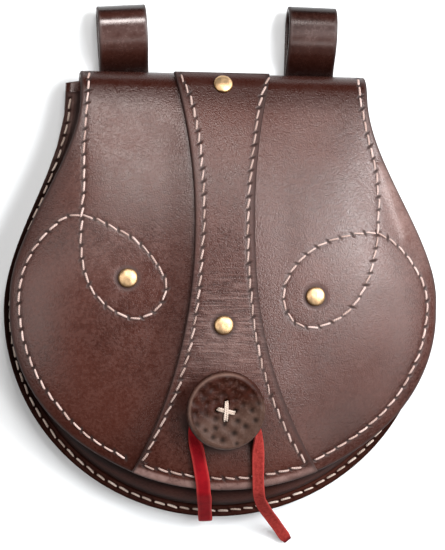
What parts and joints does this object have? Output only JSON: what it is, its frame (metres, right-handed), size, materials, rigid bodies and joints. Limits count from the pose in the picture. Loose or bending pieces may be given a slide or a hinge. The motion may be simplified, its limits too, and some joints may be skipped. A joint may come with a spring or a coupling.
{
  "type": "belt pouch",
  "caption": "Kidney-shaped brown leather belt pouch with a moulded front, a stitched flap with an hourglass strip, brass rivets, a button with a red lace, and belt loops.",
  "frame": {"origin": "on the ground under the middle of the pouch's box, the lace left out", "axes": "the pouch lies on its back: +X to the right seen from its front, +Y from its round bottom up to the belt loops, +Z out of its front"},
  "size_m": [0.1816, 0.2314, 0.0558],
  "materials": {
    "brown_leather": "semi-gloss, vegetable tanned",
    "loop_leather": "semi-gloss, vegetable tanned",
    "brass": "polished",
    "dark_horn": "dimpled, satin",
    "red_leather": "soft, matt"
  },
  "bodies": {
    "root": {"back_and_flap": "brown_leather", "front_panel": "brown_leather", "center_strip": "brown_leather", "belt_loop_left": "loop_leather", "belt_loop_right": "loop_leather", "rivet_top": "brass", "rivet_center": "brass", "rivet_left": "brass", "rivet_right": "brass", "button_spacer": "brown_leather", "button": "dark_horn", "lace": "red_leather"}
  },
  "joints": []
}
